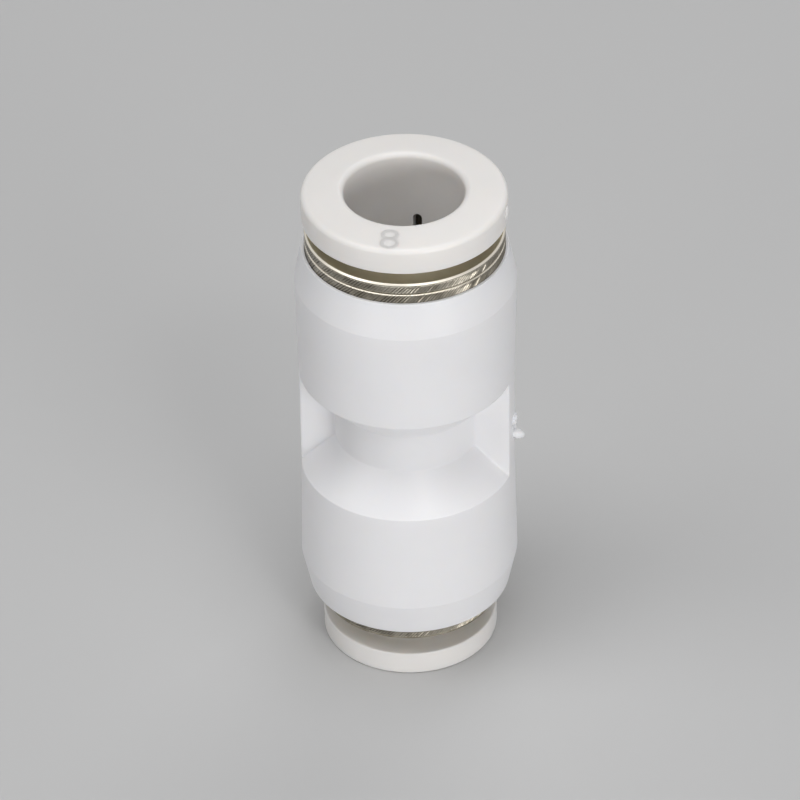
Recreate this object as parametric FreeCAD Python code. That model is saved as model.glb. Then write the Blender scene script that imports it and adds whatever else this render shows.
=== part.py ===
import FreeCAD, Part
import os
from types import SimpleNamespace

# Straight push fit coupling for an 8 mm tube (port on +Z) and a 6 mm tube (port on -Z).
# Millimetres. The origin is the middle of the body on the bore axis, and the flat web lies along X.
# Every height is counted from the middle of the body outwards, so that both ends share the same code.

# Moulded body, the same outline at both ends
rim_height = 14.10
rim_radius = 7.05
shoulder_height = 11.54
shoulder_radius = 7.59
pocket_height = 3.95
pocket_radius = 7.43
waist_height = 1.47
waist_radius = 5.04
web_thickness = 2.82
passage_radius = 2.20
rim_round = 0.12
shoulder_round = 0.30
pocket_round = 0.15
waist_round = 0.20

# Moulding gate broken off the edge of the web: a flat stub and a longer torn one
gate_root_sink = 0.60
gate_taper = 0.12
short_stub_height = -0.02
short_stub_radius = 0.40
short_stub_proud = 0.29
long_stub_height = -1.28
long_stub_radius = 0.38
long_stub_proud = 0.60

# Tubes that the coupling takes, and how deep each one goes in
tube_diameter_8 = 8.00
tube_diameter_6 = 6.00
tube_stop_8 = 1.00
tube_stop_6 = 1.90

# Release sleeves
press_gap_8 = 1.01
press_gap_6 = 1.39
flange_radius_8 = 7.00
flange_radius_6 = 6.12
flange_thickness_8 = 1.90
flange_thickness_6 = 1.79
face_rise_8 = 0.24
flange_round_8 = 0.38
flange_round_6 = 0.20
mouth_round = 0.36
sleeve_wall = 1.00
slit_count = 4
slit_width = 0.63
slit_start = 2.84
ridge_catch = 0.24
ridge_length = 0.70
ridge_lead = 0.30
nose_land = 0.40
nose_chamfer = 0.50

# Knurled guide collars
collar_proud_8 = 1.50
collar_proud_6 = 1.35
head_radius_8 = 6.83
head_radius_6 = 6.20
head_chamfer = 0.15
head_sink = 0.30
knurl_groove_drop = 0.82
knurl_groove_width = 0.14
knurl_groove_depth = 0.10
skirt_wall = 0.62
skirt_step = 1.75
barb_rise = 0.15
barb_length = 0.80
barb_drop = 1.60

# Locking claws
claw_thickness = 0.25
tooth_slope = 0.58
tooth_nip = 0.12
tooth_slot_width = 0.50
tooth_count_8 = 12
tooth_count_6 = 8

# Backing rings and seals
backing_height = 2.15
backing_lip = 0.45
backing_lip_width = 0.75
seal_section = 1.86
seal_nip = 0.05
socket_depth = 3.20

# Clearances
tube_gap = 0.10
socket_gap = 0.08
backing_gap = 0.15
sleeve_run_gap = 0.08
skirt_gap = 0.18
ridge_rest_gap = 0.05
tooth_rest_gap = 0.30
seat_gap = 0.02
seal_side_gap = 0.07


def end_sizes(tube_diameter, tube_stop, press_gap, flange_radius, flange_thickness, flange_round,
              collar_proud, head_radius, tooth_count, face_rise=0):
    """Sizes of one port, from the tube outwards and from the tube stop to the face."""
    s = SimpleNamespace()
    tube_radius = tube_diameter / 2
    s.tube_stop = tube_stop
    s.collar_face = rim_height + collar_proud
    s.flange_foot = s.collar_face + press_gap
    s.flange_rim = s.flange_foot + flange_thickness
    s.sleeve_face = s.flange_rim + face_rise
    s.flange_radius = flange_radius
    s.flange_round = flange_round
    s.head_radius = head_radius
    s.tooth_count = tooth_count

    s.socket_radius = tube_radius + socket_gap
    s.backing_bore = tube_radius + backing_gap
    s.tip_radius = tube_radius - tooth_nip
    s.sleeve_bore = tube_radius + tube_gap
    s.sleeve_radius = s.sleeve_bore + sleeve_wall
    s.collar_bore = s.sleeve_radius + sleeve_run_gap
    s.ridge_radius = s.collar_bore + ridge_catch
    s.skirt_bore = s.ridge_radius + skirt_gap
    s.shank_radius = s.skirt_bore + skirt_wall
    s.barb_radius = s.shank_radius + barb_rise
    s.seal_mid_radius = tube_radius - seal_nip + seal_section / 2
    s.seal_seat_radius = s.seal_mid_radius + seal_section / 2 + seat_gap

    s.seal_foot = tube_stop + socket_depth
    s.backing_foot = s.seal_foot + seal_section + 2 * seal_side_gap
    s.claw_foot = s.backing_foot + backing_height
    s.collar_foot = s.claw_foot + claw_thickness
    s.collar_step = s.collar_foot + skirt_step
    s.head_seat = rim_height - head_sink
    s.barb_top = s.head_seat - barb_drop
    s.ridge_top = s.collar_step - ridge_rest_gap
    nose_radius = s.sleeve_bore + nose_land
    s.nose_radius = nose_radius
    s.nose = s.collar_foot - (s.skirt_bore - nose_radius) * tooth_slope + tooth_rest_gap
    return s


def turned(points):
    """Solid of revolution about Z from a closed outline of (radius, height) points."""
    corners = [FreeCAD.Vector(r, 0, z) for r, z in points]
    outline = Part.makePolygon(corners + corners[:1])
    return Part.Face(outline).revolve(FreeCAD.Vector(0, 0, 0), FreeCAD.Vector(0, 0, 1), 360)


def circles_at(solid, radius, height):
    """Edges of the solid that are full circles of this radius at this height."""
    found = []
    for edge in solid.Edges:
        curve = edge.Curve
        if not isinstance(curve, Part.Circle) or not edge.isClosed():
            continue
        if abs(curve.Radius - radius) < 1e-6 and abs(curve.Center.z - height) < 1e-6:
            found.append(edge)
    return found


def rounded(solid, radius, circles):
    """The solid with a round of this radius on the circular edges at each (radius, height)."""
    edges = []
    for circle_radius, height in circles:
        edges.extend(circles_at(solid, circle_radius, height))
    return solid.makeFillet(radius, edges)


def slab(length, width, low, high):
    """Box centred on the axis, length along X and width along Y, between two heights."""
    return Part.makeBox(length, width, high - low, FreeCAD.Vector(-length / 2, -width / 2, low))


def turned_over(solid):
    """The solid turned half round about X, from the +Z end to the -Z end."""
    flipped = solid.copy()
    flipped.rotate(FreeCAD.Vector(0, 0, 0), FreeCAD.Vector(1, 0, 0), 180)
    return flipped


def barrel():
    """Outside of the body of revolution, waisted in the middle."""
    half = [
        (waist_radius, waist_height),
        (pocket_radius, pocket_height),
        (shoulder_radius, shoulder_height),
        (rim_radius, rim_height),
    ]
    lower = [(radius, -height) for radius, height in reversed(half)]
    solid = turned([(0, -rim_height)] + lower + half + [(0, rim_height)])
    for size, radius, height in (
        (rim_round, rim_radius, rim_height),
        (shoulder_round, shoulder_radius, shoulder_height),
        (pocket_round, pocket_radius, pocket_height),
        (waist_round, waist_radius, waist_height),
    ):
        solid = rounded(solid, size, [(radius, height), (radius, -height)])
    return solid


def web():
    """Flat web across the waist, flush with the barrel on both sides of the pockets."""
    reach = pocket_height + 2 * pocket_round
    outline = turned([
        (0, -shoulder_height),
        (shoulder_radius, -shoulder_height),
        (pocket_radius, -pocket_height),
        (pocket_radius, pocket_height),
        (shoulder_radius, shoulder_height),
        (0, shoulder_height),
    ])
    return outline.common(slab(2 * (shoulder_radius + pocket_radius), web_thickness, -reach, reach))


def gate_stubs():
    """The two lumps left on the web's edge where the moulding gate broke off."""
    stubs = []
    for height, radius, proud in (
        (short_stub_height, short_stub_radius, short_stub_proud),
        (long_stub_height, long_stub_radius, long_stub_proud),
    ):
        root = FreeCAD.Vector(pocket_radius - gate_root_sink, 0, height)
        length = gate_root_sink + proud
        stubs.append(Part.makeCone(radius, radius - gate_taper, length, root, FreeCAD.Vector(1, 0, 0)))
    return stubs


def cavity(s):
    """Stepped bore of one port: tube socket, seal groove, cartridge bore, barb groove and head seat."""
    cartridge = s.shank_radius + seat_gap
    return turned([
        (0, s.tube_stop),
        (s.socket_radius, s.tube_stop),
        (s.socket_radius, s.seal_foot),
        (s.seal_seat_radius, s.seal_foot),
        (s.seal_seat_radius, s.backing_foot),
        (cartridge, s.backing_foot),
        (cartridge, s.barb_top - barb_length - seat_gap),
        (s.barb_radius + seat_gap, s.barb_top + seat_gap),
        (cartridge, s.barb_top + seat_gap),
        (cartridge, s.head_seat),
        (s.head_radius + seat_gap, s.head_seat),
        (s.head_radius + seat_gap, rim_height + head_sink),
        (0, rim_height + head_sink),
    ])


def body(upper, lower):
    """White moulded body with both ports, the pockets, the web and the gate stubs."""
    solid = barrel().fuse([web()] + gate_stubs()).removeSplitter()
    passage = Part.makeCylinder(passage_radius, 2 * rim_height, FreeCAD.Vector(0, 0, -rim_height))
    return solid.cut([cavity(upper), turned_over(cavity(lower)), passage])


def release_sleeve(s):
    """Flanged sleeve that slides in the collar, with a catch ridge, a nose and slits."""
    solid = turned([
        (s.sleeve_bore, s.nose),
        (s.nose_radius, s.nose),
        (s.sleeve_radius, s.nose + nose_chamfer),
        (s.sleeve_radius, s.ridge_top - ridge_length - ridge_lead),
        (s.ridge_radius, s.ridge_top - ridge_length),
        (s.ridge_radius, s.ridge_top),
        (s.sleeve_radius, s.ridge_top),
        (s.sleeve_radius, s.flange_foot),
        (s.flange_radius, s.flange_foot),
        (s.flange_radius, s.flange_rim),
        (s.sleeve_bore, s.sleeve_face),
    ])
    solid = rounded(solid, s.flange_round, [(s.flange_radius, s.flange_rim)])
    solid = rounded(solid, mouth_round, [(s.sleeve_bore, s.sleeve_face)])
    return solid.cut(slits(s))


def slits(s):
    """Radial slits with round ends, open at the nose and evenly spaced round the sleeve."""
    round_end = s.flange_foot - slit_start - slit_width / 2
    depth = round_end - s.nose + slit_width
    cutters = []
    for step in range(slit_count):
        cutter = Part.makeBox(
            s.flange_radius, slit_width, depth, FreeCAD.Vector(0, -slit_width / 2, round_end - depth)
        )
        end = Part.makeCylinder(
            slit_width / 2, s.flange_radius, FreeCAD.Vector(0, 0, round_end), FreeCAD.Vector(1, 0, 0)
        )
        cutter = cutter.fuse(end)
        cutter.rotate(FreeCAD.Vector(0, 0, 0), FreeCAD.Vector(0, 0, 1), step * 360.0 / slit_count)
        cutters.append(cutter)
    return cutters


def guide_collar(s):
    """Metal collar: knurled head in two bands, barbed shank, and a step that holds the sleeve in."""
    groove = s.collar_face - knurl_groove_drop
    return turned([
        (s.skirt_bore, s.collar_foot),
        (s.shank_radius, s.collar_foot),
        (s.shank_radius, s.barb_top - barb_length),
        (s.barb_radius, s.barb_top),
        (s.shank_radius, s.barb_top),
        (s.shank_radius, s.head_seat),
        (s.head_radius, s.head_seat),
        (s.head_radius, groove - knurl_groove_width / 2),
        (s.head_radius - knurl_groove_depth, groove),
        (s.head_radius, groove + knurl_groove_width / 2),
        (s.head_radius, s.collar_face - head_chamfer),
        (s.head_radius - head_chamfer, s.collar_face),
        (s.collar_bore, s.collar_face),
        (s.collar_bore, s.collar_step),
        (s.skirt_bore, s.collar_step),
    ])


def lock_claw(s):
    """Sprung ring with teeth that lean in towards the tube stop, clamped under the collar's foot."""
    drop = (s.skirt_bore - s.tip_radius) * tooth_slope
    ring = turned([
        (s.tip_radius, s.claw_foot - drop),
        (s.skirt_bore, s.claw_foot),
        (s.shank_radius, s.claw_foot),
        (s.shank_radius, s.collar_foot),
        (s.skirt_bore, s.collar_foot),
        (s.tip_radius, s.collar_foot - drop),
    ])
    slots = []
    for step in range(s.tooth_count):
        slot = Part.makeBox(
            s.skirt_bore,
            tooth_slot_width,
            drop + 2 * claw_thickness,
            FreeCAD.Vector(0, -tooth_slot_width / 2, s.claw_foot - drop - claw_thickness / 2),
        )
        slot.rotate(FreeCAD.Vector(0, 0, 0), FreeCAD.Vector(0, 0, 1), step * 360.0 / s.tooth_count)
        slots.append(slot)
    return ring.cut(slots)


def backing_ring(s):
    """Plastic ring under the claw, hollowed so that the teeth can bend down into it."""
    return turned([
        (s.backing_bore, s.backing_foot),
        (s.shank_radius, s.backing_foot),
        (s.shank_radius, s.claw_foot),
        (s.skirt_bore, s.claw_foot),
        (s.backing_bore + backing_lip_width, s.backing_foot + backing_lip),
        (s.backing_bore, s.backing_foot + backing_lip),
    ])


def o_ring(s):
    """Tube seal in its groove between the body and the backing ring."""
    middle = FreeCAD.Vector(0, 0, (s.seal_foot + s.backing_foot) / 2)
    return Part.makeTorus(s.seal_mid_radius, seal_section / 2, middle)


def save(name, shape):
    """One STEP file per piece, and a line that gives its volume and box."""
    box = shape.BoundBox
    print(
        f"{name}: solids {len(shape.Solids)} valid {shape.isValid()} volume {shape.Volume:.2f} "
        f"x {box.XMin:.2f} {box.XMax:.2f} y {box.YMin:.2f} {box.YMax:.2f} z {box.ZMin:.2f} {box.ZMax:.2f}"
    )
    shape.exportStep(f"parts/{name}.step")


def main():
    os.makedirs("parts", exist_ok=True)
    upper = end_sizes(
        tube_diameter_8, tube_stop_8, press_gap_8, flange_radius_8, flange_thickness_8, flange_round_8,
        collar_proud_8, head_radius_8, tooth_count_8, face_rise_8,
    )
    lower = end_sizes(
        tube_diameter_6, tube_stop_6, press_gap_6, flange_radius_6, flange_thickness_6, flange_round_6,
        collar_proud_6, head_radius_6, tooth_count_6,
    )
    save("body", body(upper, lower))
    cartridge = {
        "release_sleeve": release_sleeve,
        "guide_collar": guide_collar,
        "lock_claw": lock_claw,
        "backing_ring": backing_ring,
        "o_ring": o_ring,
    }
    for name, make in cartridge.items():
        save(f"{name}_8mm", make(upper))
        save(f"{name}_6mm", turned_over(make(lower)))


main()
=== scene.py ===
import math

import bmesh
import bpy
import numpy as np
from mathutils import Matrix, Vector, noise


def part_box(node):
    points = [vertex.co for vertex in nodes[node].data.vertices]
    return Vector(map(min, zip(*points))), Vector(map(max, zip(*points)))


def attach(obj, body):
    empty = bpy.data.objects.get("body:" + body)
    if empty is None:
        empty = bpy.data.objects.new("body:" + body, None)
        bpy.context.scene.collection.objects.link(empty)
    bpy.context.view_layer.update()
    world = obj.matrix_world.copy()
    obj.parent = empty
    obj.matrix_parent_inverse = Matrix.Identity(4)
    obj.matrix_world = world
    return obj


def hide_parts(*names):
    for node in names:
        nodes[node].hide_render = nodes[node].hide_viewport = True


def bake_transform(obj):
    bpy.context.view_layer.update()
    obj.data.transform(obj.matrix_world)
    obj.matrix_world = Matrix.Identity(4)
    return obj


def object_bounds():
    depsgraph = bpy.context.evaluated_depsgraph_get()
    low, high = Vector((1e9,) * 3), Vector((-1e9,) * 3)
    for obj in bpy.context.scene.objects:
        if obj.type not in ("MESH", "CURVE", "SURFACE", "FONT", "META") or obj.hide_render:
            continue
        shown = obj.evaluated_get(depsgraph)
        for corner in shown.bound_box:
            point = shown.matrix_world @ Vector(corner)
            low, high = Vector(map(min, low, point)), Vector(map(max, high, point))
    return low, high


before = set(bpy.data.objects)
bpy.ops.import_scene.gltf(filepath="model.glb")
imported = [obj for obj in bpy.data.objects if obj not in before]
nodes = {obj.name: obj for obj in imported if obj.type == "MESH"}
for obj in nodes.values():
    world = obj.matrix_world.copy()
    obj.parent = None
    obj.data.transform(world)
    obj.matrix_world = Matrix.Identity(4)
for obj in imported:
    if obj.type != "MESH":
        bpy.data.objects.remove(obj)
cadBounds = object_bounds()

mm = 0.001
weldGap = 0.0002  # points nearer than this, in mm, are joined
sharpTurn = 28  # edges that turn by more than this many degrees stay sharp
rng = np.random.default_rng(8)  # the same knurl strokes each run


# shared mesh helpers

def nodeReach(node):
    # lowest height, highest height and outside radius of a CAD node, in mm
    low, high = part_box(node)
    return low[2] / mm, high[2] / mm, high[1] / mm


def roundCorner(before, corner, after, radius, steps):
    # points of a round of this radius in the corner of an outline
    a = np.array(before[:2]) - np.array(corner[:2])
    b = np.array(after[:2]) - np.array(corner[:2])
    lengthA = np.linalg.norm(a)
    lengthB = np.linalg.norm(b)
    a /= lengthA
    b /= lengthB
    half = math.acos(max(-1.0, min(1.0, float(a @ b)))) / 2
    reach = min(radius / math.tan(half), 0.48 * lengthA, 0.48 * lengthB)
    radius = reach * math.tan(half)
    middle = np.array(corner[:2]) + (a + b) / np.linalg.norm(a + b) * radius / math.sin(half)
    start = np.array(corner[:2]) + a * reach - middle
    end = np.array(corner[:2]) + b * reach - middle
    angleStart = math.atan2(start[1], start[0])
    turn = math.atan2(end[1], end[0]) - angleStart
    turn = (turn + math.pi) % (2 * math.pi) - math.pi
    points = []
    for step in range(steps + 1):
        angle = angleStart + turn * step / steps
        points.append((middle[0] + radius * math.cos(angle), middle[1] + radius * math.sin(angle)))
    return points


def outline(corners, spacing=1.2, steps=5, closed=True):
    # outline of (radius, height) points from corners (radius, height, round), with long runs divided
    count = len(corners)
    points = []
    for index, corner in enumerate(corners):
        isEnd = not closed and index in (0, count - 1)
        if isEnd or len(corner) < 3 or corner[2] == 0:
            points.append((corner[0], corner[1]))
        else:
            after = corners[(index + 1) % count]
            points.extend(roundCorner(corners[index - 1], corner, after, corner[2], steps))
    divided = []
    for index, point in enumerate(points):
        divided.append(point)
        if index == len(points) - 1 and not closed:
            break
        follower = points[(index + 1) % len(points)]
        length = math.dist(point, follower)
        parts = max(1, math.ceil(length / spacing))
        for part in range(1, parts):
            share = part / parts
            divided.append((
                point[0] + (follower[0] - point[0]) * share,
                point[1] + (follower[1] - point[1]) * share,
            ))
    return divided


def circle(radius, height, angles):
    return np.column_stack((radius * np.cos(angles), radius * np.sin(angles), np.full(len(angles), height)))


def evenAngles(count):
    return np.linspace(0, 2 * math.pi, count, endpoint=False)


def ringSolid(name, rings, upsideDown=False, sharpAngle=sharpTurn):
    # closed skin through a loop of rings, all with the same number of points
    across = len(rings[0])
    points = np.vstack(rings) * mm
    if upsideDown:
        points[:, 1:] *= -1
    faces = []
    for row in range(len(rings)):
        here = row * across
        there = ((row + 1) % len(rings)) * across
        for column in range(across):
            right = (column + 1) % across
            faces.append((here + column, here + right, there + right, there + column))
    mesh = bpy.data.meshes.new(name)
    mesh.from_pydata(points.tolist(), [], faces)
    return finishMesh(name, mesh, sharpAngle)


def finishMesh(name, mesh, sharpAngle):
    form = bmesh.new()
    form.from_mesh(mesh)
    bmesh.ops.remove_doubles(form, verts=form.verts, dist=weldGap * mm)
    bmesh.ops.recalc_face_normals(form, faces=form.faces)
    form.to_mesh(mesh)
    form.free()
    mesh.shade_smooth()
    mesh.set_sharp_from_angle(angle=math.radians(sharpAngle))
    piece = bpy.data.objects.new(name, mesh)
    bpy.context.scene.collection.objects.link(piece)
    return piece


def cutWith(piece, cutters):
    # takes all the cutters out of the piece and removes them
    for cutter in cutters:
        step = piece.modifiers.new("cut", "BOOLEAN")
        step.operation = "DIFFERENCE"
        step.solver = "EXACT"
        step.object = cutter
    bpy.context.view_layer.update()
    cut = bpy.data.meshes.new_from_object(piece.evaluated_get(bpy.context.evaluated_depsgraph_get()))
    piece.modifiers.clear()
    old = piece.data
    piece.data = cut
    bpy.data.meshes.remove(old)
    for cutter in cutters:
        bpy.data.objects.remove(cutter)
    cut.shade_smooth()
    cut.set_sharp_from_angle(angle=math.radians(sharpTurn))
    return piece


slotForm = {
    "topSteps": 12,
    "start": 0.05,
}


def slotCutter(width, low, high, reach, angle, upsideDown, roundTop):
    # upright slot from the axis outwards, with a round top if asked
    sides = slotForm["topSteps"] if roundTop else 1
    half = width / 2
    section = [(half, low)]
    for step in range(sides + 1):
        turn = math.pi * step / sides
        top = high - half if roundTop else high
        rise = half * math.sin(turn) if roundTop else 0
        section.append((half * math.cos(turn), top + rise))
    section.append((-half, low))
    form = bmesh.new()
    ends = []
    for x in (slotForm["start"], reach):
        ends.append([form.verts.new((x * mm, y * mm, z * mm)) for y, z in section])
    form.faces.new(ends[0])
    form.faces.new(list(reversed(ends[1])))
    for index in range(len(section)):
        follower = (index + 1) % len(section)
        form.faces.new((ends[0][index], ends[1][index], ends[1][follower], ends[0][follower]))
    bmesh.ops.recalc_face_normals(form, faces=form.faces)
    form.transform(Matrix.Rotation(angle, 4, "Z"))
    if upsideDown:
        form.transform(Matrix.Rotation(math.pi, 4, "X"))
    mesh = bpy.data.meshes.new("cutter")
    form.to_mesh(mesh)
    form.free()
    cutter = bpy.data.objects.new("cutter", mesh)
    bpy.context.scene.collection.objects.link(cutter)
    return cutter


# materials

noiseSpan = (0.3, 0.7)  # most values of a noise lie in this span


def startMaterial(name):
    material = bpy.data.materials.new(name)
    material.use_nodes = True
    tree = material.node_tree
    shader = tree.nodes["Principled BSDF"]
    place = tree.nodes.new("ShaderNodeTexCoord")
    return material, tree, shader, place.outputs["Object"]


def addNoise(tree, place, size, detail=3.0, roughness=0.5):
    # noise whose features are about this many mm across
    grain = tree.nodes.new("ShaderNodeTexNoise")
    grain.inputs["Scale"].default_value = 1 / (size * mm)
    grain.inputs["Detail"].default_value = detail
    grain.inputs["Roughness"].default_value = roughness
    tree.links.new(place, grain.inputs["Vector"])
    return grain.outputs["Fac"]


def addRamp(tree, source, stops):
    ramp = tree.nodes.new("ShaderNodeValToRGB")
    ramp.color_ramp.elements[0].position = stops[0][0]
    ramp.color_ramp.elements[0].color = (*stops[0][1], 1)
    ramp.color_ramp.elements[1].position = stops[-1][0]
    ramp.color_ramp.elements[1].color = (*stops[-1][1], 1)
    for position, colour in stops[1:-1]:
        ramp.color_ramp.elements.new(position).color = (*colour, 1)
    tree.links.new(source, ramp.inputs["Fac"])
    return ramp.outputs["Color"]


def addRange(tree, source, low, high, fromLow=noiseSpan[0], fromHigh=noiseSpan[1]):
    spread = tree.nodes.new("ShaderNodeMapRange")
    spread.inputs["From Min"].default_value = fromLow
    spread.inputs["From Max"].default_value = fromHigh
    spread.inputs["To Min"].default_value = low
    spread.inputs["To Max"].default_value = high
    tree.links.new(source, spread.inputs["Value"])
    return spread.outputs["Result"]


def addBump(tree, shader, height, depth, under=None):
    # depth is in mm
    bump = tree.nodes.new("ShaderNodeBump")
    bump.inputs["Strength"].default_value = 1
    bump.inputs["Distance"].default_value = depth * mm
    tree.links.new(height, bump.inputs["Height"])
    if under is not None:
        tree.links.new(under, bump.inputs["Normal"])
    tree.links.new(bump.outputs["Normal"], shader.inputs["Normal"])
    return bump.outputs["Normal"]


def addMath(tree, operation, first, second=None):
    step = tree.nodes.new("ShaderNodeMath")
    step.operation = operation
    for index, value in enumerate((first, second)):
        if isinstance(value, (int, float)):
            step.inputs[index].default_value = value
        elif value is not None:
            tree.links.new(value, step.inputs[index])
    return step.outputs["Value"]


def addMix(tree, share, under, colour):
    mix = tree.nodes.new("ShaderNodeMix")
    mix.data_type = "RGBA"
    mix.inputs["B"].default_value = (*colour, 1)
    tree.links.new(share, mix.inputs["Factor"])
    tree.links.new(under, mix.inputs["A"])
    return mix.outputs["Result"]


def mouldedPlastic(name, look):
    material, tree, shader, place = startMaterial(name)
    clouds = addNoise(tree, place, look["cloudSize"])
    low = [channel * look["shade"] for channel in look["colour"]]
    tint = addRamp(tree, clouds, [(noiseSpan[0], low), (noiseSpan[1], look["colour"])])
    # a few specks of dirt, each in its own cell
    cells = tree.nodes.new("ShaderNodeTexVoronoi")
    cells.inputs["Scale"].default_value = 1 / (look["speckSpacing"] * mm)
    tree.links.new(place, cells.inputs["Vector"])
    near = addRange(tree, cells.outputs["Distance"], 1, 0, look["speckSize"] * 0.5, look["speckSize"])
    few = tree.nodes.new("ShaderNodeSeparateColor")
    tree.links.new(cells.outputs["Color"], few.inputs["Color"])
    share = look["speckShare"]
    chosen = addRange(tree, few.outputs["Red"], 0, look["speckStrength"], share, share + look["speckEdge"])
    speckled = addMix(tree, addMath(tree, "MULTIPLY", near, chosen), tint, look["speckColour"])
    tree.links.new(speckled, shader.inputs["Base Color"])
    wear = addNoise(tree, place, look["wearSize"], detail=4)
    tree.links.new(addRange(tree, wear, *look["roughness"]), shader.inputs["Roughness"])
    shader.inputs["Subsurface Weight"].default_value = look["glow"]
    shader.inputs["Subsurface Radius"].default_value = look["glowReach"]
    shader.inputs["Subsurface Scale"].default_value = look["glowDepth"] * mm
    swell = addBump(tree, shader, addNoise(tree, place, look["swellSize"], detail=1), look["swellDepth"])
    addBump(tree, shader, addNoise(tree, place, look["grainSize"], detail=2), look["grainDepth"], swell)
    return material


def nickelPlate(name, look, crestRadius):
    material, tree, shader, place = startMaterial(name)
    shader.inputs["Metallic"].default_value = 1
    tarnish = addNoise(tree, place, look["tarnishSize"], detail=5, roughness=0.6)
    tarnished, clean = look["tarnishSpan"]
    tint = addRamp(tree, tarnish, [(tarnished, look["dull"]), (clean, look["bright"])])
    split = tree.nodes.new("ShaderNodeSeparateXYZ")
    tree.links.new(place, split.inputs["Vector"])
    flat = tree.nodes.new("ShaderNodeCombineXYZ")
    tree.links.new(split.outputs["X"], flat.inputs["X"])
    tree.links.new(split.outputs["Y"], flat.inputs["Y"])
    reach = tree.nodes.new("ShaderNodeVectorMath")
    reach.operation = "LENGTH"
    tree.links.new(flat.outputs["Vector"], reach.inputs[0])
    # how far the surface leans over towards level, 0 on the knurled wall and 1 on the end face
    surface = tree.nodes.new("ShaderNodeNewGeometry")
    facing = tree.nodes.new("ShaderNodeSeparateXYZ")
    tree.links.new(surface.outputs["Normal"], facing.inputs["Vector"])
    level = addMath(tree, "ABSOLUTE", facing.outputs["Z"])
    # painted shade in the roots of the knurl and in the groove, a painted highlight on the chamfers and
    # bevelled band edges, and a painted reflection of the button's dark underside on the matt turned end
    # face
    drop = addMath(tree, "SUBTRACT", crestRadius * mm, reach.outputs["Value"])
    root = addRange(tree, drop, 0, look["knurlShadeAmount"], look["knurlShadeStart"] * mm, look["knurlShadeFull"] * mm)
    tint = addMix(tree, root, tint, look["root"])
    # painted highlight: surfaces leaning between the wall and level get the bright chamfer colour
    tint = addMix(tree, addRange(tree, level, 0, 1, *look["chamferHighlightLean"]), tint, look["chamfer"])
    # painted reflection: the level end face gets an olive colour for the reflected dark underside of the
    # button; its extra roughness is the real matt turning
    onFace = addRange(tree, level, 0, 1, *look["faceLean"])
    tint = addMix(tree, onFace, tint, look["face"])
    tree.links.new(tint, shader.inputs["Base Color"])
    haze = addRange(tree, addNoise(tree, place, look["hazeSize"], detail=4), *look["roughness"])
    extra = addMath(tree, "MULTIPLY", onFace, look["faceRoughness"])
    tree.links.new(addMath(tree, "ADD", haze, extra), shader.inputs["Roughness"])
    # turning marks run round the axis, so the noise is stretched along the circles
    rings = tree.nodes.new("ShaderNodeCombineXYZ")
    tree.links.new(reach.outputs["Value"], rings.inputs["X"])
    tree.links.new(split.outputs["Z"], rings.inputs["Z"])
    turning = addNoise(tree, rings.outputs["Vector"], look["turningPitch"], detail=2)
    turned = addBump(tree, shader, turning, look["turningDepth"])
    addBump(tree, shader, addNoise(tree, place, look["pitSize"]), look["pitDepth"], turned)
    return material


def plainRing(name, look):
    material, tree, shader, place = startMaterial(name)
    shader.inputs["Metallic"].default_value = look["metallic"]
    mottle = addNoise(tree, place, look["mottleSize"])
    tint = addRamp(tree, mottle, [(noiseSpan[0], look["dark"]), (noiseSpan[1], look["light"])])
    tree.links.new(tint, shader.inputs["Base Color"])
    tree.links.new(addRange(tree, mottle, *look["roughness"]), shader.inputs["Roughness"])
    addBump(tree, shader, addNoise(tree, place, look["grainSize"], detail=2), look["grainDepth"])
    return material


bodyPlasticLook = {
    "colour": (0.88, 0.875, 0.89),
    "shade": 0.975,
    "cloudSize": 6.0,
    "wearSize": 2.2,
    "roughness": (0.30, 0.40),
    "glow": 0.25,
    "glowDepth": 0.9,
    "glowReach": (1.0, 0.85, 0.7),
    "swellSize": 5.0,
    "swellDepth": 0.012,
    "grainSize": 0.07,
    "grainDepth": 0.0008,
    "speckSpacing": 3.6,
    "speckSize": 0.022,
    "speckShare": 0.80,
    "speckEdge": 0.01,
    "speckStrength": 0.35,
    "speckColour": (0.25, 0.24, 0.23),
}
sleevePlasticLook = dict(
    bodyPlasticLook,
    colour=(0.88, 0.855, 0.83),
    roughness=(0.34, 0.44),
    glow=0.3,
    speckShare=0.93,
)
nickelLook = {
    "bright": (0.42, 0.39, 0.33),
    "dull": (0.21, 0.19, 0.15),
    # painted shade: colour and strength of the darkening in the knurl's roots and the groove, deeper below
    # the crest
    "root": (0.045, 0.038, 0.028),
    "knurlShadeAmount": 0.80,
    "knurlShadeStart": 0.012,
    "knurlShadeFull": 0.060,
    # painted highlight on the chamfers and the bevelled band edges
    "chamfer": (0.70, 0.655, 0.57),
    "chamferHighlightLean": (0.45, 0.62),
    # painted reflection on the level end face, olive for the button's dark underside, with extra roughness
    # for the matt turning
    "face": (0.44, 0.40, 0.29),
    "faceLean": (0.85, 0.95),
    "faceRoughness": 0.12,
    "tarnishSize": 1.4,
    "tarnishSpan": (0.35, 0.65),
    "hazeSize": 0.6,
    "roughness": (0.28, 0.42),
    "turningPitch": 0.05,
    "turningDepth": 0.0015,
    "pitSize": 0.10,
    "pitDepth": 0.002,
}
springSteelLook = {
    "metallic": 1.0,
    "dark": (0.42, 0.41, 0.39),
    "light": (0.60, 0.59, 0.57),
    "mottleSize": 0.5,
    "roughness": (0.25, 0.38),
    "grainSize": 0.05,
    "grainDepth": 0.001,
}
backingPlasticLook = {
    "metallic": 0.0,
    "dark": (0.62, 0.61, 0.58),
    "light": (0.70, 0.69, 0.66),
    "mottleSize": 1.0,
    "roughness": (0.45, 0.55),
    "grainSize": 0.08,
    "grainDepth": 0.001,
}
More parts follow.
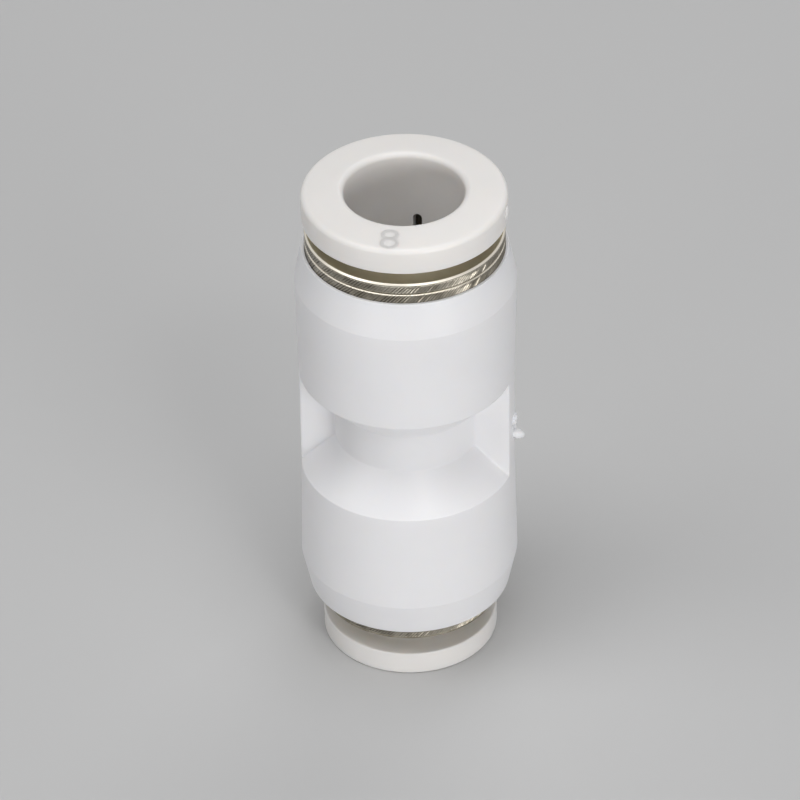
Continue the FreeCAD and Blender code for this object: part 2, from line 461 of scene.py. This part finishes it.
rubberLook = {
    "metallic": 0.0,
    "dark": (0.012, 0.012, 0.012),
    "light": (0.025, 0.025, 0.025),
    "mottleSize": 0.4,
    "roughness": (0.42, 0.6),
    "grainSize": 0.06,
    "grainDepth": 0.002,
}

bodyPlastic = mouldedPlastic("bodyPlastic", bodyPlasticLook)
sleevePlastic = mouldedPlastic("sleevePlastic", sleevePlasticLook)
springSteel = plainRing("springSteel", springSteelLook)
backingPlastic = plainRing("backingPlastic", backingPlasticLook)
blackRubber = plainRing("blackRubber", rubberLook)


def dress(piece, material, slotName, body, *replacedNodes):
    piece.data.materials.clear()
    piece.data.materials.append(material)
    if body:
        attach(piece, body)
    if replacedNodes:
        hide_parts(*replacedNodes)
    print("made", piece.name, len(piece.data.polygons), "faces")
    return piece


# the two ports: every size from the tube outwards, in mm

portFit = {
    "tubeGap": 0.10,
    "socketGap": 0.08,
    "sleeveWall": 1.00,
    "runGap": 0.08,
    "ridgeCatch": 0.24,
    "skirtGap": 0.18,
    "skirtWall": 0.62,
    "skirtStep": 1.75,
    "headSink": 0.30,
    "seatGap": 0.02,
    "sealSection": 1.86,
    "sealNip": 0.05,
    "sealSideGap": 0.07,
    "socketDepth": 3.20,
    "ridgeLength": 0.70,
    "ridgeLead": 0.30,
    "ridgeGap": 0.05,
    "noseLand": 0.40,
    "noseChamfer": 0.50,
}


def portSizes(size, tubeRadius, tubeStop, upsideDown, toothCount):
    port = {"size": size, "upsideDown": upsideDown, "toothCount": toothCount}
    port["tubeRadius"] = tubeRadius
    port["tubeStop"] = tubeStop
    fit = portFit
    sign = -1 if upsideDown else 1
    ends = {}
    for kind in ("release_sleeve", "guide_collar", "lock_claw"):
        low, high, radius = nodeReach(f"{kind}_{size}")
        heights = sorted((low * sign, high * sign))
        ends[kind] = (heights[0], heights[1], radius)
    port["nose"], port["face"], port["flangeRadius"] = ends["release_sleeve"]
    port["collarFoot"], port["collarFace"], port["headRadius"] = ends["guide_collar"]
    port["toothTip"], port["clawTop"], port["clawRadius"] = ends["lock_claw"]
    port["bore"] = tubeRadius + fit["tubeGap"]
    port["socket"] = tubeRadius + fit["socketGap"]
    port["sleeveRadius"] = port["bore"] + fit["sleeveWall"]
    port["collarBore"] = port["sleeveRadius"] + fit["runGap"]
    port["ridgeRadius"] = port["collarBore"] + fit["ridgeCatch"]
    port["skirtBore"] = port["ridgeRadius"] + fit["skirtGap"]
    port["shank"] = port["skirtBore"] + fit["skirtWall"]
    port["collarStep"] = port["collarFoot"] + fit["skirtStep"]
    port["ridgeTop"] = port["collarStep"] - fit["ridgeGap"]
    port["sealSeat"] = tubeRadius - fit["sealNip"] + fit["sealSection"] + fit["seatGap"]
    port["sealFoot"] = tubeStop + fit["socketDepth"]
    port["backingFoot"] = port["sealFoot"] + fit["sealSection"] + 2 * fit["sealSideGap"]
    return port


upperPort = portSizes("8mm", tubeRadius=4.0, tubeStop=1.0, upsideDown=False, toothCount=12)
lowerPort = portSizes("6mm", tubeRadius=3.0, tubeStop=1.9, upsideDown=True, toothCount=8)


# body

bodyForm = {
    "rimRadius": 7.05,
    "shoulderHeight": 11.54,
    "pocketHeight": 3.95,
    "pocketRadius": 7.43,
    "waistHeight": 1.47,
    "waistRadius": 5.04,
    "webThickness": 2.82,
    "passageRadius": 2.20,
    "rimRound": 0.12,
    "shoulderRound": 0.30,
    "pocketRound": 0.12,
    "waistRound": 0.18,
    "webEdgeRound": 0.14,
    "webFootRound": 0.20,
    "webOverlap": 0.40,
    "rimFaceRadius": 6.95,
    "seatEdgeRound": 0.04,
    "socketRound": 0.15,
    "stopRound": 0.20,
    "passageRound": 0.15,
}
webSteps = {"edge": 6, "edgeRound": 5, "side": 7, "footRound": 5, "pocket": 44}


def quarterSection(floor, edge):
    # quarter of a level slice, from the web's edge on +X round to the pocket's floor on +Y
    half = bodyForm["webThickness"] / 2
    depth = edge - floor
    edgeRound = min(bodyForm["webEdgeRound"], 0.3 * depth)
    footRound = min(bodyForm["webFootRound"], 0.3 * depth)
    outerX = math.sqrt((edge - edgeRound) ** 2 - (half - edgeRound) ** 2)
    outerAngle = math.atan2(half - edgeRound, outerX)
    innerX = math.sqrt((floor + footRound) ** 2 - (half + footRound) ** 2)
    innerAngle = math.atan2(half + footRound, innerX)
    points = []
    for angle in np.linspace(0, outerAngle, webSteps["edge"], endpoint=False):
        points.append((edge * math.cos(angle), edge * math.sin(angle)))
    for angle in np.linspace(outerAngle, math.pi / 2, webSteps["edgeRound"], endpoint=False):
        points.append((outerX + edgeRound * math.cos(angle), half - edgeRound + edgeRound * math.sin(angle)))
    for x in np.linspace(outerX, innerX, webSteps["side"], endpoint=False):
        points.append((x, half))
    for angle in np.linspace(-math.pi / 2, innerAngle - math.pi, webSteps["footRound"], endpoint=False):
        points.append((innerX + footRound * math.cos(angle), half + footRound + footRound * math.sin(angle)))
    for angle in np.linspace(innerAngle, math.pi / 2, webSteps["pocket"]):
        points.append((floor * math.cos(angle), floor * math.sin(angle)))
    return np.array(points)


def fullSection(floor, edge, height):
    quarter = quarterSection(floor, edge)
    back = quarter[::-1]
    loop = np.vstack((
        quarter,
        back[1:] * (-1, 1),
        quarter[1:] * (-1, -1),
        back[1:-1] * (1, -1),
    ))
    return np.column_stack((loop, np.full(len(loop), height)))


def portCavity(port):
    # stepped bore from the rim inwards; the collar hides most of it
    fit = portFit
    seat = port["shank"] + fit["seatGap"]
    rim = nodeReach("body")[1]
    return [
        (port["headRadius"] + fit["seatGap"], rim, bodyForm["seatEdgeRound"]),
        (port["headRadius"] + fit["seatGap"], rim - fit["headSink"]),
        (seat, rim - fit["headSink"]),
        (seat, port["backingFoot"]),
        (port["sealSeat"], port["backingFoot"]),
        (port["sealSeat"], port["sealFoot"]),
        (port["socket"], port["sealFoot"], bodyForm["socketRound"]),
        (port["socket"], port["tubeStop"], bodyForm["stopRound"]),
        (bodyForm["passageRadius"], port["tubeStop"], bodyForm["passageRound"]),
    ]


def makeBody():
    form = bodyForm
    rim = nodeReach("body")[1]
    shoulder = nodeReach("body")[2]
    half = [
        (form["waistRadius"], form["waistHeight"], form["waistRound"]),
        (form["pocketRadius"], form["pocketHeight"], form["pocketRound"]),
        (shoulder, form["shoulderHeight"], form["shoulderRound"]),
        (form["rimRadius"], rim, form["rimRound"]),
    ]
    upperInside = portCavity(upperPort)
    lowerInside = portCavity(lowerPort)
    lowerHalf = [(r, -z, rounding) for r, z, rounding in reversed(half)]
    corners = lowerHalf + half
    start = (form["rimFaceRadius"], -rim)
    end = (form["rimFaceRadius"], rim)
    outside = outline([start] + corners + [end], spacing=0.9, steps=6, closed=False)
    rings = []
    for radius, height in outside:
        level = abs(height)
        edge = radius
        if level < form["pocketHeight"] + form["webOverlap"]:
            lean = (shoulder - form["pocketRadius"]) / (form["shoulderHeight"] - form["pocketHeight"])
            edge = max(radius, form["pocketRadius"] + max(0, level - form["pocketHeight"]) * lean)
        rings.append(fullSection(radius, edge, height))
    angles = np.arctan2(rings[0][:, 1], rings[0][:, 0])
    inside = outline(
        upperInside + [(r, -z, *rest) for r, z, *rest in reversed(lowerInside)],
        spacing=2.5, steps=4, closed=False,
    )
    rings.extend(circle(radius, height, angles) for radius, height in inside)
    return dress(ringSolid("body_shell", rings), bodyPlastic, "body_plastic", "coupling_body", "body")


makeBody()


# torn moulding gate on the web's edge, and a small flash on the upper button's rim

tornForm = {
    # middle (x, y, z), half sizes (x, y, z), lean in degrees about Y, roughness of the tear
    "gate": (
        ((7.38, -0.16, 0.06), (0.30, 0.46, 0.50), 18, 0.22),
        ((7.30, -0.28, -0.36), (0.22, 0.36, 0.20), -10, 0.24),
        ((7.58, -0.12, -1.09), (0.62, 0.44, 0.29), 16, 0.12),
        ((7.42, 0.12, -0.70), (0.16, 0.18, 0.36), 0, 0.20),
    ),
    "flash": (
        ((6.96, -0.25, 17.50), (0.18, 0.46, 0.56), 4, 0.05),
    ),
    "tearSize": 0.16,
    "tearRoughness": 0.6,
    "tearFineness": 2.2,
    "tearLayers": 4,
    "subdivisions": 4,
}


def makeTorn(name, lumps, plastic, slotName, body):
    form = bmesh.new()
    fractal = (tornForm["tearRoughness"], tornForm["tearFineness"], tornForm["tearLayers"])
    for middle, halves, lean, tear in lumps:
        lump = bmesh.ops.create_icosphere(form, subdivisions=tornForm["subdivisions"], radius=1)
        turn = Matrix.Rotation(math.radians(lean), 3, "Y")
        for vertex in lump["verts"]:
            direction = vertex.co.copy()
            stretched = Vector(direction[axis] * halves[axis] for axis in range(3))
            bite = noise.fractal((stretched + Vector(middle)) / tornForm["tearSize"], *fractal)
            stretched *= 1 + tear * bite
            vertex.co = (turn @ stretched + Vector(middle)) * mm
    mesh = bpy.data.meshes.new(name)
    form.to_mesh(mesh)
    form.free()
    mesh.shade_smooth()
    piece = bpy.data.objects.new(name, mesh)
    bpy.context.scene.collection.objects.link(piece)
    return dress(piece, plastic, slotName, body)


makeTorn("gate_stub", tornForm["gate"], bodyPlastic, "body_plastic", "coupling_body")
makeTorn("button_flash", tornForm["flash"], sleevePlastic, "sleeve_plastic", "upper_sleeve")


# release sleeves

sleeveForm = {
    "columns": 224,
    "flangeThickness": {"8mm": 1.90, "6mm": 1.79},
    "faceRise": {"8mm": 0.24, "6mm": 0.0},
    "flangeRound": {"8mm": 0.38, "6mm": 0.22},
    "flangeFootRound": 0.12,
    "mouthRound": 0.40,
    "neckRound": 0.15,
    "boreEndRound": 0.05,
    "noseRound": 0.08,
    "noseTopRound": 0.10,
    "ridgeRound": 0.06,
    "ridgeTopRound": 0.04,
    "slitCount": 4,
    "slitWidth": 0.63,
    "slitStart": 2.84,
    "slitTurn": -3.0,
    "slitBelow": 0.5,
    "slitPast": 0.4,
}


def makeSleeve(port, body):
    form = sleeveForm
    fit = portFit
    size = port["size"]
    edge = port["face"] - form["faceRise"][size]
    underside = edge - form["flangeThickness"][size]
    ridgeFoot = port["ridgeTop"] - fit["ridgeLength"]
    profile = outline([
        (port["bore"], port["nose"], form["boreEndRound"]),
        (port["bore"] + fit["noseLand"], port["nose"], form["noseRound"]),
        (port["sleeveRadius"], port["nose"] + fit["noseChamfer"], form["noseTopRound"]),
        (port["sleeveRadius"], ridgeFoot - fit["ridgeLead"]),
        (port["ridgeRadius"], ridgeFoot, form["ridgeRound"]),
        (port["ridgeRadius"], port["ridgeTop"], form["ridgeRound"]),
        (port["sleeveRadius"], port["ridgeTop"], form["ridgeTopRound"]),
        (port["sleeveRadius"], underside, form["neckRound"]),
        (port["flangeRadius"], underside, form["flangeFootRound"]),
        (port["flangeRadius"], edge, form["flangeRound"][size]),
        (port["bore"], port["face"], form["mouthRound"]),
    ], spacing=0.7, steps=7)
    angles = evenAngles(form["columns"])
    rings = [circle(radius, height, angles) for radius, height in profile]
    sleeve = ringSolid(f"release_sleeve_{size}_shell", rings, port["upsideDown"])
    cutters = []
    low = port["nose"] - form["slitBelow"]
    high = underside - form["slitStart"]
    reach = port["ridgeRadius"] + form["slitPast"]
    for step in range(form["slitCount"]):
        angle = step * 2 * math.pi / form["slitCount"] + math.radians(form["slitTurn"])
        cutters.append(slotCutter(form["slitWidth"], low, high, reach, angle, port["upsideDown"], True))
    cutWith(sleeve, cutters)
    return dress(sleeve, sleevePlastic, "sleeve_plastic", body, f"release_sleeve_{size}")


makeSleeve(upperPort, "upper_sleeve")
makeSleeve(lowerPort, "lower_sleeve")


# raised size numeral on the upper button

numeralForm = {
    "middleRadius": 5.80,
    "height": 1.71,
    "width": 1.03,
    "stroke": 0.14,
    "rise": 0.009,
    "lift": 0.002,
    "upperShare": 0.46,
    "lowerShare": 0.54,
    "upperNarrowing": 0.95,
    "steps": 48,
    "sharpAngle": 60,
    "angle": -90.7,
    "lean": 6.0,
    # slightly darker than the button's plastic: painted shade for the relief of the 8
    "colour": (0.871, 0.846, 0.821),
}


def strokeTube(form, path, stroke, rise, place):
    # flattened tube along a closed path in the plane of the button
    sides = 8
    rows = []
    count = len(path)
    for index in range(count):
        ahead = np.array(path[(index + 1) % count]) - np.array(path[index - 1])
        ahead /= np.linalg.norm(ahead)
        across = np.array((ahead[1], -ahead[0]))
        row = []
        for side in range(sides):
            turn = 2 * math.pi * side / sides
            flat = np.array(path[index]) + across * stroke * math.cos(turn)
            row.append(form.verts.new(place @ Vector((flat[0], flat[1], rise * math.sin(turn)))))
        rows.append(row)
    for index in range(count):
        follower = rows[(index + 1) % count]
        for side in range(sides):
            right = (side + 1) % sides
            form.faces.new((rows[index][side], rows[index][right], follower[right], follower[side]))


def makeNumeral(port, body):
    # a plain 8 from a small loop over a larger one
    look = numeralForm
    turn = math.radians(look["angle"] + 90)
    slope = sleeveForm["faceRise"][port["size"]] / (port["flangeRadius"] - port["bore"])
    level = port["face"] - slope * (look["middleRadius"] - port["bore"])
    place = (
        Matrix.Scale(mm, 4)
        @ Matrix.Rotation(turn, 4, "Z")
        @ Matrix.Translation((0, -look["middleRadius"], level + look["lift"]))
        @ Matrix.Rotation(math.atan(slope), 4, "X")
        @ Matrix.Rotation(math.radians(look["lean"]), 4, "Z")
    )
    form = bmesh.new()
    upperHeight = look["height"] * look["upperShare"]
    lowerHeight = look["height"] * look["lowerShare"]
    upperWidth = look["width"] * look["upperNarrowing"]
    loops = (
        ((look["height"] - upperHeight) / 2, upperWidth, upperHeight),
        ((lowerHeight - look["height"]) / 2, look["width"], lowerHeight),
    )
    for y, width, height in loops:
        path = []
        for angle in evenAngles(look["steps"]):
            path.append((width / 2 * math.cos(angle), y + height / 2 * math.sin(angle)))
        strokeTube(form, path, look["stroke"], look["rise"], place)
    mesh = bpy.data.meshes.new("size_numeral")
    form.to_mesh(mesh)
    form.free()
    numeral = finishMesh("size_numeral_8", mesh, look["sharpAngle"])
    # the sleeve plastic darkened a little as painted shade on the numeral
    plastic = mouldedPlastic("numeralPlastic", dict(sleevePlasticLook, colour=look["colour"]))
    return dress(numeral, plastic, "sleeve_plastic", body)


makeNumeral(upperPort, "upper_sleeve")


# knurled collars

collarForm = {
    "strokes": 176,
    "columnsPerStroke": 6,
    "knurlDepth": 0.055,
    "strokeSpread": (0.45, 1.15),
    "knurlLean": 48.0,
    "bandTop": 0.20,
    "bandEdge": 0.025,
    "grooveDrop": 0.82,
    "grooveWidth": 0.16,
    "grooveDepth": 0.11,
    "chamfer": 0.12,
    "rowsPerBand": 7,
    "fade": 0.10,
    "fadeStart": 0.35,
    "bandFoot": 0.02,
    "bandOverlap": 0.01,
    "grooveFloor": 0.5,
    "chamferRound": 0.03,
    "boreRound": 0.10,
    "faceInset": 0.3,
    "sharpAngle": 40,
}


def makeCollar(port):
    form = collarForm
    face = port["collarFace"]
    radius = port["headRadius"]
    rim = nodeReach("body")[1]
    seat = rim - portFit["headSink"]
    groove = face - form["grooveDrop"]
    halfGroove = form["grooveWidth"] / 2
    # (radius, height, share of the knurl's depth)
    rows = [
        (point[0], point[1], 0.0) for point in outline([
            (port["collarBore"], face, form["boreRound"]),
            (port["collarBore"], port["collarStep"]),
            (port["skirtBore"], port["collarStep"]),
            (port["skirtBore"], port["collarFoot"]),
            (port["shank"], port["collarFoot"]),
            (port["shank"], seat),
            (radius, seat),
        ], spacing=1.5, steps=4, closed=False)
    ]
    lowerBand = (seat + form["bandFoot"], groove - halfGroove)
    upperBand = (groove + halfGroove, face - form["bandTop"])
    for low, high in (lowerBand, upperBand):
        rows.append((radius - form["bandEdge"], low, 0.0))
        first = low + form["bandEdge"]
        last = high - form["bandEdge"]
        for step in range(form["rowsPerBand"] + 1):
            height = first + (last - first) * step / form["rowsPerBand"]
            nearest = min(height - first, last - height)
            rows.append((radius, height, min(1, form["fadeStart"] + nearest / form["fade"])))
        rows.append((radius - form["bandEdge"], high, 0.0))
        if high < groove:
            halfFloor = halfGroove * form["grooveFloor"]
            rows.append((radius - form["grooveDepth"], groove - halfFloor, 0.0))
            rows.append((radius - form["grooveDepth"], groove + halfFloor, 0.0))
    for r, z in outline([
        (radius, face - form["bandTop"] + form["bandOverlap"]),
        (radius, face - form["chamfer"], form["chamferRound"]),
        (radius - form["chamfer"], face, form["chamferRound"]),
        (port["collarBore"] + form["faceInset"], face),
    ], spacing=0.6, steps=3, closed=False):
        rows.append((r, z, 0.0))
    count = form["strokes"] * form["columnsPerStroke"]
    phase = np.arange(count) % form["columnsPerStroke"] / form["columnsPerStroke"]
    wave = 1 - np.abs(2 * phase - 1)
    bites = rng.uniform(*form["strokeSpread"], form["strokes"])
    depth = form["knurlDepth"] * wave * np.repeat(bites, form["columnsPerStroke"])
    angles = evenAngles(count)
    lean = 1 / math.tan(math.radians(form["knurlLean"]))
    rings = []
    for r, z, share in rows:
        shift = (max(z, seat) - seat) * lean / radius
        turned = angles + shift
        cut = r - depth * share
        rings.append(np.column_stack((cut * np.cos(turned), cut * np.sin(turned), np.full(count, z))))
    name = f"guide_collar_{port['size']}"
    collar = ringSolid(f"{name}_knurled", rings, port["upsideDown"], form["sharpAngle"])
    nickel = nickelPlate(f"nickel_{port['size']}", nickelLook, radius)
    return dress(collar, nickel, "nickel_plate", "coupling_body", name)


makeCollar(upperPort)
makeCollar(lowerPort)


# lock claws

clawForm = {
    "thickness": 0.25,
    "toothNip": 0.12,
    "slotWidth": 0.50,
    "slotMargin": 0.3,
    "edgeRound": 0.03,
    "bendRound": 0.12,
    "bendMargin": 0.15,
    "columns": 192,
}


def makeClaw(port):
    form = clawForm
    top = port["clawTop"]
    foot = top - form["thickness"]
    tip = port["tubeRadius"] - form["toothNip"]
    drop = foot - port["toothTip"]
    edge = form["edgeRound"]
    bend = form["bendRound"]
    profile = outline([
        (tip, foot - drop, edge),
        (port["skirtBore"], foot, bend),
        (port["clawRadius"], foot, edge),
        (port["clawRadius"], top, edge),
        (port["skirtBore"], top, bend),
        (tip, top - drop, edge),
    ], spacing=0.4, steps=3)
    angles = evenAngles(form["columns"])
    rings = [circle(radius, height, angles) for radius, height in profile]
    claw = ringSolid(f"lock_claw_{port['size']}_toothed", rings, port["upsideDown"])
    cutters = []
    low = port["toothTip"] - form["slotMargin"]
    high = top + form["slotMargin"]
    for step in range(port["toothCount"]):
        angle = step * 2 * math.pi / port["toothCount"]
        cutters.append(slotCutter(
            form["slotWidth"], low, high, port["skirtBore"], angle, port["upsideDown"], False,
        ))
    cutWith(claw, cutters)
    dress(claw, springSteel, "spring_steel", None, f"lock_claw_{port['size']}")
    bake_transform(claw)


makeClaw(upperPort)
makeClaw(lowerPort)


# seals and backing rings keep their CAD shape

for size in ("8mm", "6mm"):
    for node, material in ((f"backing_ring_{size}", backingPlastic), (f"o_ring_{size}", blackRubber)):
        nodes[node].data.materials.clear()
        nodes[node].data.materials.append(material)
        nodes[node].data.shade_smooth()
        nodes[node].data.set_sharp_from_angle(angle=math.radians(sharpTurn))
print("dressed the seals and backing rings")


# camera

cameraPlace = {
    "azimuth": 9.5,
    "elevation": 37.02,
    "roll": -0.939,
    "distance": 400.0,
    "target": (-0.500, -0.088, 0.872),
    "lens": 260.55,
    "sensor": 36,
    "nearest": 0.01,
    "farthest": 20,
}


def makeCamera():
    place = cameraPlace
    azimuth = math.radians(place["azimuth"])
    elevation = math.radians(place["elevation"])
    back = Vector((
        math.sin(azimuth) * math.cos(elevation),
        -math.cos(azimuth) * math.cos(elevation),
        math.sin(elevation),
    ))
    camera = bpy.data.objects.new("camera", bpy.data.cameras.new("camera"))
    bpy.context.scene.collection.objects.link(camera)
    camera.data.lens = place["lens"]
    camera.data.sensor_width = place["sensor"]
    camera.data.clip_start = place["nearest"]
    camera.data.clip_end = place["farthest"]
    roll = Matrix.Rotation(math.radians(place["roll"]), 4, "Z")
    turn = back.to_track_quat("Z", "Y").to_matrix().to_4x4() @ roll
    spot = (Vector(place["target"]) + back * place["distance"]) * mm
    camera.matrix_world = Matrix.Translation(spot) @ turn
    bpy.context.scene.camera = camera


makeCamera()


# floor, world and lamps

stageLook = {
    "floorColour": (0.60, 0.60, 0.60),
    "floorSize": 3.0,
    "floorGap": 0.00001,
    "floorRoughness": 0.8,
    "floorShine": 0.2,
    "worldColour": (0.80, 0.81, 0.83),
    "worldStrength": 0.10,
    "backColour": (0.86, 0.86, 0.86),
}
lampPlaces = {
    # azimuth and elevation as seen from the object, distance and size in m, power in W
    "frontRight": {"azimuth": 40, "elevation": 5, "distance": 0.9, "size": 0.42, "power": 3.8},
    "top": {"azimuth": 0, "elevation": 82, "distance": 0.9, "size": 0.6, "power": 3.4},
    "upperLeft": {"azimuth": -60, "elevation": 50, "distance": 0.9, "size": 0.6, "power": 1.5},
    "upperRight": {"azimuth": 50, "elevation": 45, "distance": 0.9, "size": 0.5, "power": 0.4},
    "behind": {"azimuth": 170, "elevation": 45, "distance": 0.9, "size": 0.6, "power": 1.2},
    "glint": {"azimuth": 30, "elevation": 48, "distance": 0.9, "size": 0.12, "power": 0.4},
    "strokeGlint": {"azimuth": -22, "elevation": 4, "distance": 0.9, "size": 0.16, "power": 0.9},
}


def makeFloor():
    half = stageLook["floorSize"] / 2
    level = cadBounds[0][2] - stageLook["floorGap"]
    mesh = bpy.data.meshes.new("floor")
    corners = [(-half, -half, level), (half, -half, level), (half, half, level), (-half, half, level)]
    mesh.from_pydata(corners, [], [(0, 1, 2, 3)])
    floor = bpy.data.objects.new("floor", mesh)
    bpy.context.scene.collection.objects.link(floor)
    material = bpy.data.materials.new("floor")
    material.use_nodes = True
    shader = material.node_tree.nodes["Principled BSDF"]
    shader.inputs["Base Color"].default_value = (*stageLook["floorColour"], 1)
    shader.inputs["Roughness"].default_value = stageLook["floorRoughness"]
    shader.inputs["Specular IOR Level"].default_value = stageLook["floorShine"]
    mesh.materials.append(material)


def makeWorld():
    world = bpy.data.worlds.new("world")
    bpy.context.scene.world = world
    world.use_nodes = True
    tree = world.node_tree
    tree.nodes.clear()
    light = tree.nodes.new("ShaderNodeBackground")
    light.inputs["Color"].default_value = (*stageLook["worldColour"], 1)
    light.inputs["Strength"].default_value = stageLook["worldStrength"]
    behind = tree.nodes.new("ShaderNodeBackground")
    behind.inputs["Color"].default_value = (*stageLook["backColour"], 1)
    rays = tree.nodes.new("ShaderNodeLightPath")
    mix = tree.nodes.new("ShaderNodeMixShader")
    out = tree.nodes.new("ShaderNodeOutputWorld")
    seen = addMath(tree, "MAXIMUM", rays.outputs["Is Camera Ray"], rays.outputs["Is Glossy Ray"])
    seen = addMath(tree, "MAXIMUM", seen, rays.outputs["Is Transmission Ray"])
    tree.links.new(seen, mix.inputs["Fac"])
    tree.links.new(light.outputs["Background"], mix.inputs[1])
    tree.links.new(behind.outputs["Background"], mix.inputs[2])
    tree.links.new(mix.outputs["Shader"], out.inputs["Surface"])


def makeLamps():
    for name, place in lampPlaces.items():
        lamp = bpy.data.lights.new(name, "AREA")
        lamp.shape = "DISK"
        lamp.size = place["size"]
        lamp.energy = place["power"]
        azimuth = math.radians(place["azimuth"])
        elevation = math.radians(place["elevation"])
        towards = Vector((
            math.sin(azimuth) * math.cos(elevation),
            -math.cos(azimuth) * math.cos(elevation),
            math.sin(elevation),
        ))
        stand = bpy.data.objects.new(name, lamp)
        bpy.context.scene.collection.objects.link(stand)
        facing = towards.to_track_quat("Z", "Y").to_matrix().to_4x4()
        stand.matrix_world = Matrix.Translation(towards * place["distance"]) @ facing


makeFloor()
makeWorld()
makeLamps()
bpy.context.scene.view_settings.view_transform = "Standard"
print("set the camera, floor, world and lamps")
